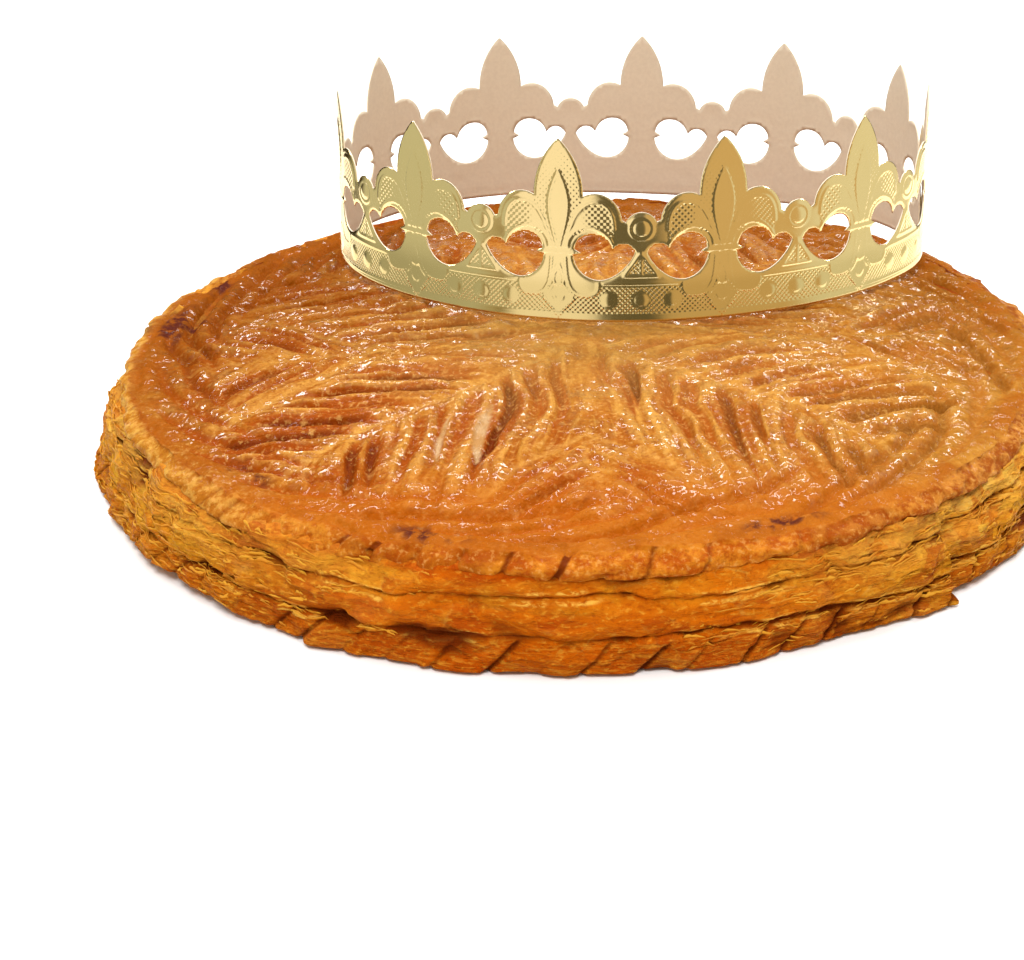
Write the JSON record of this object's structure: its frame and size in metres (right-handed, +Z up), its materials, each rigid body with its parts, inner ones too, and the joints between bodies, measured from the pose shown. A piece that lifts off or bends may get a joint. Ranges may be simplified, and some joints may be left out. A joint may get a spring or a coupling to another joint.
{
  "type": "galette des rois",
  "caption": "Round puff pastry cake with layered scalloped sides and a scored leaf rosette, topped by a gold card crown of fleurs-de-lis.",
  "frame": {"origin": "middle of the galette's flat underside", "axes": "+Z up, +X to the right and +Y away from a person facing the front; the crown lies towards +Y"},
  "size_m": [0.271, 0.2734, 0.0858],
  "materials": {
    "pastry": "satin",
    "gold_card": "gloss"
  },
  "bodies": {
    "root": {"galette": "pastry", "crown": "gold_card"}
  },
  "joints": []
}
